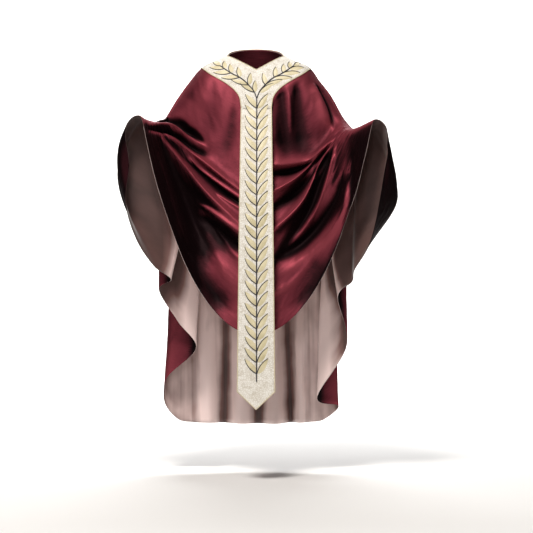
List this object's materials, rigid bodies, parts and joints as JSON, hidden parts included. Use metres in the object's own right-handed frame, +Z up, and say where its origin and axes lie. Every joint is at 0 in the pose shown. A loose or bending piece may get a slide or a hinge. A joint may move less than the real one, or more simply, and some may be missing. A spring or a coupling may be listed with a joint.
{
  "type": "gothic chasuble",
  "caption": "Worn gothic chasuble, open at neck, sides and hem, swagged over raised forearms, with a Y-shaped orphrey and a free hanging front band.",
  "frame": {"origin": "middle of the neck opening at shoulder height, where the wearer's shoulders hold the garment", "axes": "-Y towards the wearer's front, +X to the viewer's right from the front, +Z up"},
  "size_m": [0.9475, 0.4883, 1.3366],
  "materials": {
    "wine_taffeta": "shot silk taffeta, satin sheen",
    "pink_lining": "satin lining, soft sheen",
    "ivory_brocade": "woven brocade with embroidered leaves"
  },
  "bodies": {
    "root": {"front_panel": "wine_taffeta", "back_panel": "wine_taffeta", "front_lining": "pink_lining", "back_lining": "pink_lining", "y_orphrey": "ivory_brocade", "back_neck_facing": "wine_taffeta"}
  },
  "joints": []
}
